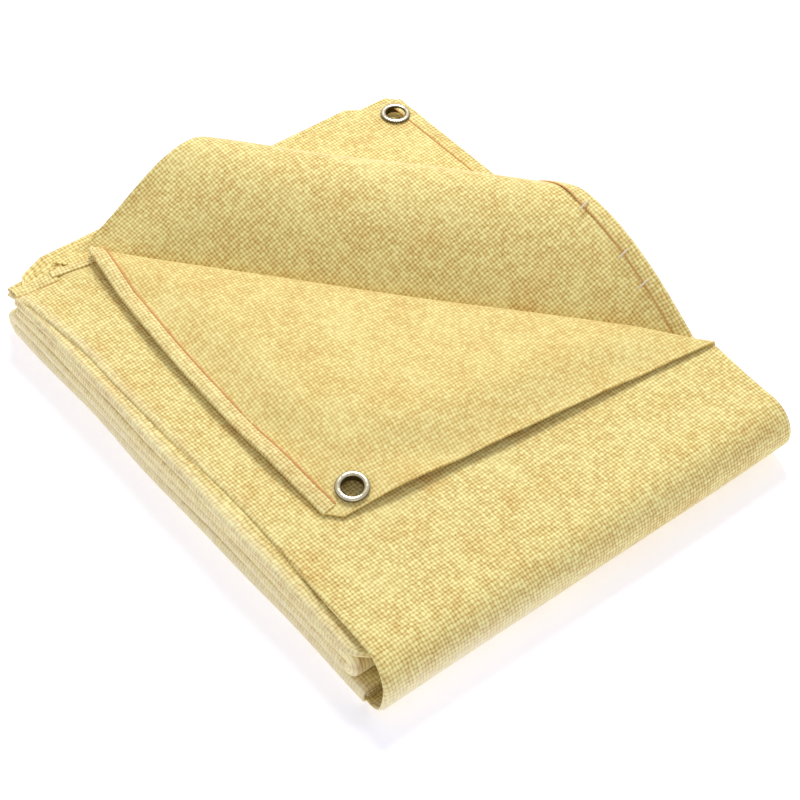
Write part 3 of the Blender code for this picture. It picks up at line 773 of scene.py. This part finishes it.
def flapLift(share):
    # Height of the flap's middle surface above the top ply, from the fold to the tip
    start = 2 * flap["roll"]
    share = np.asarray(share, float)
    back = 1 - share / flap["crest"]
    rising = flap["rise"] - (flap["rise"] - start) * back * back
    ahead = np.clip((share - flap["crest"]) / (1 - flap["crest"]), 0, 1)
    bent = np.minimum(ahead, flap["bendShare"])
    fall = (bent * bent / (2 * flap["bendShare"]) + ahead - bent) / (1 - flap["bendShare"] / 2)
    falling = flap["rise"] - (flap["rise"] - 0.0012) * fall
    return np.where(share < flap["crest"], rising, falling)


def flapRows():
    # Rows of the cloth from the seam to the tip: distance from the fold, height,
    # first and last place along the fold, and stage: 0 under the flap, 1 at the top of the roll, 2 at the tip
    level = pack["top"] - pack["skin"] / 2
    cornerAlong, cornerAcross = measures(topLow.x, topHigh.y)
    rows = []
    for v in np.linspace(-flap["seam"], -0.001, 8):
        rows.append((v, level, cornerAlong * (v / cornerAcross), foldLength, 0.0))
    radius = flap["roll"]
    for angle in np.radians(np.linspace(0, 180, 15)[1:]):
        v = radius * math.sin(angle)
        z = level + radius * (1 - math.cos(angle))
        last = foldLength + 0.002 * math.cos(angle / 2)
        rows.append((v, z, 0.0, last, angle / math.pi))
    depth = -tipAcross
    for share in np.linspace(0, 1 - flap["blunt"] / depth, 78)[1:]:
        first = tipAlong * share
        last = foldLength + (tipAlong - foldLength) * share
        rows.append((-depth * share, level + float(flapLift(share)), first, last, 1.0 + share))
    return np.array(rows)


def flapSurface():
    v, z, first, last, stage = flapRows().T
    t = np.linspace(0, 1, flap["columns"] + 1)[None, :]
    share = np.clip(stage - 1, 0, 1)
    onFlap = smooth(0.0, 1.0, stage)
    # the hemmed end edge swells outwards between the fold and the tip
    first = first - flap["bulge"] * 4 * share * (1 - share)
    a = first[:, None] + (last - first)[:, None] * t
    nearRoll = 1 - smooth(0.0, flap["rollReach"], share)
    bowed = smooth(-flap["seam"], 0.0, v) * (stage < 1) + (stage >= 1) * nearRoll
    bow = -flap["bow"] * 4 * t * (1 - t) * bowed[:, None]
    closing = smooth(flap["closeFrom"], 1.0, t) * nearRoll[:, None]
    taper = 1 - flap["close"] * closing * (stage > 0)[:, None]
    rolled = ((stage > 0) & (stage < 1))[:, None]
    narrowed = np.where((stage == 0)[:, None], 1 - t, np.where(rolled, taper, 1.0))
    vv = v[:, None] * narrowed + bow
    calm = (onFlap * (1 - smooth(0.85, 1.0, share)))[:, None]
    height = z[:, None] + ripple(a, vv, *flap["wave"], flap["seed"]) * calm
    # its free edges hang lower than its middle, less so near the fold and the eyelet
    level = pack["top"] - pack["skin"] / 2
    starts, full, fades, gone = flap["droopRows"]
    away = (smooth(starts, full, share) * (1 - smooth(fades, gone, share)) * (stage >= 1))[:, None]
    nearEnd = smooth(flap["droopWidth"], 0.0, a - first[:, None])
    nearSide = smooth(flap["droopWidth"], 0.0, last[:, None] - a)
    loss = 1 - (1 - flap["droop"][0] * nearEnd) * (1 - flap["droop"][1] * nearSide)
    height = level + (height - (z[:, None] - level) * loss * away - level) * taper
    x, y = place(a, vv)
    return np.stack([x, y, height], 2), stage


def clearOf(mid, node):
    # Which cells of the grid lie outside the hole that this eyelet covers
    low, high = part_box(node)
    centre = (np.array(low) + np.array(high)) / 2
    cells = (mid[:-1, :-1] + mid[1:, 1:]) / 2
    return np.linalg.norm(cells - centre, axis=2) > pack["eyeletCut"]


def blendFlap(piece):
    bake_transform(piece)


def buildCornerFlap():
    mid, stage = flapSurface()
    toEnd = (foldStart - tip) / np.linalg.norm(foldStart - tip)
    toSide = (foldEnd - tip) / np.linalg.norm(foldEnd - tip)
    # Cloth coordinates: measured from the tip along the two edges, and carried on round the roll
    a, v = measures(mid[..., 0], mid[..., 1])
    turned = np.where(stage > 0, flap["roll"] * math.pi * (1 - np.clip(stage, 0, 1)), 0)[:, None]
    behind = np.where((stage > 0)[:, None], turned, math.pi * flap["roll"] - v)
    x, y = place(a, np.where((stage >= 1)[:, None], v, behind))
    flat = np.stack([x, y], 2) - tip
    uv = np.stack([flat @ toSide, flat @ toEnd], 2)
    piece = clothMesh("cornerFlap", mid, uv, finishes["softCloth"], keep=clearOf(mid, "flap_eyelet"))
    blendFlap(piece)
    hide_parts("corner_flap")
    return piece, mid


# The second ply's raised corner


def humpLift(v):
    v = np.asarray(v, float)
    climb = np.clip((v - hump["axis"]) / (hump["crest"] - hump["axis"]), 0, 1)
    rising = hump["rise"] * np.sin(math.pi / 2 * climb)
    fall = smooth(hump["crest"], hump["foot"], v)
    return np.where(v < hump["crest"], rising, hump["rise"] + (hump["lift"] - hump["rise"]) * fall)


def humpGrid():
    level = underLow.z + pack["skin"] / 2
    corner = measures(cornerHigh.x, cornerHigh.y)[1] - 0.005
    flatPart = np.linspace(hump["start"], hump["axis"], 6)[:-1]
    v = np.concatenate([flatPart, np.linspace(hump["axis"], corner, hump["rows"])])
    first = (cornerHigh.y - foldStart[1] - across[1] * v) / along[1]
    last = (cornerHigh.x - foldStart[0] - across[0] * v) / along[0]
    t = np.linspace(0, 1, hump["columns"] + 1)[None, :]
    a = first[:, None] + (last - first)[:, None] * t
    vv = np.broadcast_to(v[:, None], a.shape)
    x, y = place(a, vv)
    lift = humpLift(vv)
    # the cut end starts to rise later than the middle
    nearEnd = smooth(hump["lagWidth"], 0.0, a - first[:, None])
    part = np.clip(lift / hump["rise"], 1e-6, 1)
    lift = np.where(vv < hump["crest"], lift * part ** (hump["lag"] * nearEnd), lift)
    free = smooth(hump["axis"], hump["axis"] + 0.03, vv)
    wave = ripple(a, vv, *hump["wave"], hump["seed"])
    z = level + lift + wave * free * smooth(0.0, 0.01, lift)
    return np.stack([x, y, z], 2), a, vv


def blendHump(piece):
    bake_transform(piece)


def buildHump():
    mid, a, v = humpGrid()
    arc = runAlong(np.stack([v[:, 0], humpLift(v[:, 0])], 1))[:, None]
    flatX = foldStart[0] + along[0] * a + across[0] * arc
    flatY = foldStart[1] + along[1] * a + across[1] * arc
    uv = np.stack([flatX, flatY], 2)
    piece = clothMesh("raisedCorner", mid, uv, finishes["cloth"], keep=clearOf(mid, "under_eyelet"))
    blendHump(piece)
    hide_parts("under_corner")
    return piece, mid


# Hems: a strip turned over the cloth's edge

hemSettings = {
    "width": 0.0078,
    "under": 0.005,  # how far it reaches in below
    "lift": 0.0012,
    "skin": 0.0011,
    "stitchGap": 0.0004,  # from the hem's edge to its stitch line
    "stitch": 0.0042,
    "stitchDepth": 0.0004,
    "swell": (0.03, 0.10),  # length of its uneven waves, and their share of the lift
    "seed": 0.4,
}


def hemStrip(name, edge, inward, normal, wear):
    # edge, inward and normal are rows along the hem; the strip wraps the edge from below to above
    width = hemSettings["width"]
    lift = hemSettings["lift"]
    section = [(hemSettings["under"], -lift), (0.002, -lift)]
    for angle in np.radians(np.linspace(-90, 90, 9)):
        section.append((0.0002 - math.cos(angle) * lift * 0.8, lift * math.sin(angle)))
    section += [(0.002, lift * 1.12), (width * 0.45, lift * 1.25)]
    section += [(width * 0.8, lift * 1.1), (width, lift * 0.55)]
    section = np.array(section)
    run = runAlong(edge)
    swell = 1 + ripple(run, 0, *hemSettings["swell"], hemSettings["seed"])
    mid = (
        edge[:, None] + inward[:, None] * section[None, :, :1]
        + normal[:, None] * section[None, :, 1:] * swell[:, None, None]
    )
    uv = np.stack(np.broadcast_arrays(runAlong(section)[None, :], run[:, None]), 2)
    return clothMesh(name, mid, uv, finishes["hem"], skin=hemSettings["skin"], wear=wear)


def stitchLine(name, edge, inward, up, height, radius):
    # A row of stitches beside the hem; the thread dips into the cloth between one and the next
    line = edge + inward * (hemSettings["width"] + hemSettings["stitchGap"]) + up * height
    run = runAlong(line)
    pitch = hemSettings["stitch"]
    fine = np.arange(0, run[-1], pitch / 6)
    points = np.stack([np.interp(fine, run, line[:, k]) for k in range(3)], 1)
    ups = np.stack([np.interp(fine, run, up[:, k]) for k in range(3)], 1)
    swell = np.abs(np.sin(math.pi * fine / pitch)) ** 0.6 - 0.6
    points = points + ups * swell[:, None] * hemSettings["stitchDepth"]
    return tube(name, points, radius, finishes["seam"])


def squareTo(edge, inward):
    # The direction inwards at right angles to the edge
    ahead = np.gradient(edge, axis=0)
    ahead /= np.linalg.norm(ahead, axis=1, keepdims=True)
    inward = inward - ahead * np.sum(inward * ahead, axis=1, keepdims=True)
    return inward / np.linalg.norm(inward, axis=1, keepdims=True)


def tellHem(hemNode):
    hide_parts(hemNode)


print("building cloth")
buildLowerStrip()
buildInnerStrip()
buildUpperMiddleStrip()
topPiece, topMid = buildTopSheet()
buildUpperPlies()
flapPiece, flapMid = buildCornerFlap()
humpPiece, humpMid = buildHump()
print("cloth built")

# The three hems that show, each with its stitch line


def buildEndHem():
    edge = flapMid[:, 0]
    inward = squareTo(edge, flapMid[:, 1] - edge)
    up = gridNormals(flapMid)[:, 0]
    hem = hemStrip("flapEndHem", edge, inward, up, 0.12)
    seam = stitchLine("endHemThread", edge, inward, up, 0.0009, 0.0009)
    for piece in (hem, seam):
        blendFlap(piece)
    tellHem("flap_end_hem")
    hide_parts("end_hem_thread")
    return hem, seam


def buildSideHem():
    edge = humpMid[:, -1]
    inward = squareTo(edge, humpMid[:, -2] - edge)
    up = gridNormals(humpMid)[:, -1]
    up = up * np.sign(up[len(up) // 2, 2])
    hem = hemStrip("raisedSideHem", edge, inward, up, 0.03)
    seam = stitchLine("sideHemThread", edge, inward, up, 0.0008, 0.00045)
    for piece in (hem, seam):
        blendHump(piece)
    tellHem("under_side_hem")
    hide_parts("side_hem_thread")
    return hem, seam, edge, inward, up


def buildTopEndHem():
    last = topSheet["columns"]
    edge = topMid[0, :last][::-1]
    inward = squareTo(edge, topMid[1, :last][::-1] - edge)
    up = gridNormals(topMid)[0, :last][::-1]
    up = up * np.sign(up[-1, 2])
    hem = hemStrip("topEndHem", edge, inward, up, 0.05)
    seam = stitchLine("topEndThread", edge, inward, up, 0.0008, 0.0005)
    for piece in (hem, seam):
        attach(piece, "upper_half")
    tellHem("top_end_hem")
    return hem, seam


endHem, endSeam = buildEndHem()
sideHem, sideSeam, hemEdge, hemInward, hemUp = buildSideHem()
topHem, topSeam = buildTopEndHem()
print("hems built")

# Tack stitches over the side hem

tacks = {"inset": 0.0042, "length": 0.0095, "arch": 0.0009, "lift": 0.0012, "slant": 0.002, "radius": 0.0006}


def buildTacks():
    for number in (1, 2, 3):
        node = f"tack_stitch_{number}"
        low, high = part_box(node)
        row = int(np.argmin(np.abs(hemEdge[:, 1] - (low.y + high.y) / 2)))
        points = []
        for share in np.linspace(0, 1, 9):
            inset = tacks["inset"] + tacks["length"] * share
            height = hemSettings["lift"] + tacks["lift"] + math.sin(math.pi * share) * tacks["arch"]
            point = hemEdge[row] + hemInward[row] * inset + hemUp[row] * height
            points.append(point - np.array([0, tacks["slant"] * share, 0]))
        piece = tube(f"tackStitch{number}", points, tacks["radius"], finishes["tack"])
        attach(piece, "under_corner_body")
        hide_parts(node)


buildTacks()
print("stitches built")

# Eyelets: rolled flange and barrel, pressed through the corner

eyeletSettings = {
    "bore": 0.0063,  # radii
    "flange": 0.0100,
    "squash": 0.62,  # how flat the rolled flange is pressed
    "barrel": 0.0042,
    "wall": 0.0004,
    "sink": 0.0006,  # how deep the flange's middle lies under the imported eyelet's top
}


def deselectAll():
    if bpy.context.mode != "OBJECT":
        bpy.ops.object.mode_set(mode="OBJECT")
    bpy.ops.object.select_all(action="DESELECT")


def buildEyelet(name, node, body):
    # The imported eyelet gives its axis, the thinnest way through it, and its place
    points = np.array([tuple(v.co) for v in frame["nodes"][node].data.vertices])
    centre = points.mean(0)
    axis = np.linalg.svd(points - centre, full_matrices=False)[2][2]
    axis = axis if axis[2] > 0 else -axis
    seat = centre + axis * (((points - centre) @ axis).max() - eyeletSettings["sink"])
    bore, flange = eyeletSettings["bore"], eyeletSettings["flange"]
    deselectAll()
    bpy.ops.mesh.primitive_torus_add(
        major_radius=(bore + flange) / 2, minor_radius=(flange - bore) / 2,
        major_segments=72, minor_segments=24,
    )
    ring = bpy.context.object
    bpy.ops.object.mode_set(mode="EDIT")
    bpy.ops.mesh.select_all(action="SELECT")
    bpy.ops.transform.resize(value=(1, 1, eyeletSettings["squash"]))
    bpy.ops.object.mode_set(mode="OBJECT")
    deselectAll()
    bpy.ops.mesh.primitive_cylinder_add(
        radius=bore + eyeletSettings["wall"] / 2, depth=eyeletSettings["barrel"], vertices=72,
        end_fill_type="NOTHING", location=(0, 0, -eyeletSettings["barrel"] / 2),
    )
    barrel = bpy.context.object
    wall = barrel.modifiers.new("wall", "SOLIDIFY")
    wall.thickness = eyeletSettings["wall"]
    wall.offset = 1
    bpy.ops.object.modifier_apply(modifier="wall")
    deselectAll()
    ring.select_set(True)
    barrel.select_set(True)
    bpy.context.view_layer.objects.active = ring
    bpy.ops.object.join()
    ring.name = name
    ring.data.name = name
    # Painted shade, dark brown, at the ring's outer foot and down the inside of its bore
    spots = np.array([tuple(v.co) for v in ring.data.vertices])
    reach = np.hypot(spots[:, 0], spots[:, 1])
    foot = smooth(flange - 0.0007, flange, reach)
    throat = smooth(bore + 0.0009, bore + 0.0001, reach)
    marks = ring.data.attributes.new("grime", "FLOAT", "POINT")
    marks.data.foreach_set("value", np.maximum(foot, throat).astype(np.float32))
    turn = np.cross((0, 0, 1), axis)
    angle = math.asin(min(1, np.linalg.norm(turn)))
    ring.rotation_mode = "AXIS_ANGLE"
    if angle > 1e-6:
        turn = turn / np.linalg.norm(turn)
        ring.rotation_axis_angle = (angle, *turn)
    ring.location = seat
    bpy.ops.object.transform_apply(location=True, rotation=True, scale=True)
    bpy.ops.object.shade_smooth_by_angle(angle=math.radians(50))
    ring.data.materials.clear()
    ring.data.materials.append(finishes["brass"])
    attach(ring, body)
    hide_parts(node)


buildEyelet("flapEyelet", "flap_eyelet", "flap_body")
buildEyelet("raisedCornerEyelet", "under_eyelet", "under_corner_body")
for node, obj in frame["nodes"].items():
    if "washer" in node or node.startswith("hidden_eyelet"):
        obj.data.materials.clear()
        obj.data.materials.append(finishes["brass"])
print("eyelets placed")

# Floor, light and camera

studio = {
    "azimuth": -41.39,
    "elevation": 46.98,
    "roll": 3.0,
    "distance": 1.2047,
    "target": (-0.0114, -0.0232, 0.02),
    "lens": 91.45,
    "floorSize": 12.0,
    "floorGlow": 0.42,  # lifts the paper to white and keeps only the contact shadow
    "lampTarget": (0, 0, 0.02),
    "roomColour": (1.0, 0.98, 0.96, 1),
    "roomStrength": 0.58,
}
lamps = {
    "windowLight": {"size": 0.7, "power": 21.5, "position": (0.70, 0.80, 1.5), "colour": (1.0, 1.0, 0.97)},
    "fillLight": {"size": 1.2, "power": 2.5, "position": (-0.9, -1.5, 1.3), "colour": (0.98, 0.98, 1.0)},
}


def buildFloor():
    deselectAll()
    bpy.ops.mesh.primitive_plane_add(size=studio["floorSize"], location=(0, 0, 0))
    floor = bpy.context.object
    floor.name = "floor"
    material = bpy.data.materials.new("whitePaper")
    material.use_nodes = True
    shader = material.node_tree.nodes["Principled BSDF"]
    shader.inputs["Base Color"].default_value = linear("#F4F2FA")
    shader.inputs["Roughness"].default_value = 0.9
    shader.inputs["Specular IOR Level"].default_value = 0.1
    shader.inputs["Emission Color"].default_value = linear("#EEF2FF")
    shader.inputs["Emission Strength"].default_value = studio["floorGlow"]
    floor.data.materials.append(material)


def buildLight(name, lamp):
    data = bpy.data.lights.new(name, "AREA")
    data.shape = "DISK"
    data.size = lamp["size"]
    data.energy = lamp["power"]
    data.color = lamp["colour"]
    obj = bpy.data.objects.new(name, data)
    bpy.context.scene.collection.objects.link(obj)
    obj.location = lamp["position"]
    aim = Vector(studio["lampTarget"]) - Vector(lamp["position"])
    obj.rotation_mode = "QUATERNION"
    obj.rotation_quaternion = aim.to_track_quat("-Z", "Y")


def buildRoom():
    world = bpy.data.worlds.new("softRoom")
    bpy.context.scene.world = world
    world.use_nodes = True
    background = world.node_tree.nodes["Background"]
    background.inputs["Color"].default_value = studio["roomColour"]
    background.inputs["Strength"].default_value = studio["roomStrength"]


def buildCamera():
    az, el, roll = (math.radians(studio[key]) for key in ("azimuth", "elevation", "roll"))
    back = Vector((math.sin(az) * math.cos(el), -math.cos(az) * math.cos(el), math.sin(el)))
    right = Vector((-back.y, back.x, 0)).normalized()
    up = back.cross(right)
    rolledRight = right * math.cos(roll) + up * math.sin(roll)
    rolledUp = up * math.cos(roll) - right * math.sin(roll)
    data = bpy.data.cameras.new("studioCamera")
    data.lens = studio["lens"]
    data.sensor_width = 36
    data.clip_start = 0.05
    camera = bpy.data.objects.new("studioCamera", data)
    bpy.context.scene.collection.objects.link(camera)
    turn = Matrix((rolledRight, rolledUp, back)).transposed().to_4x4()
    camera.matrix_world = Matrix.Translation(Vector(studio["target"]) + back * studio["distance"]) @ turn
    bpy.context.scene.camera = camera


buildFloor()
for lampName, lamp in lamps.items():
    buildLight(lampName, lamp)
buildCamera()
buildRoom()
bpy.context.scene.view_settings.view_transform = "Standard"
print("stage ready")
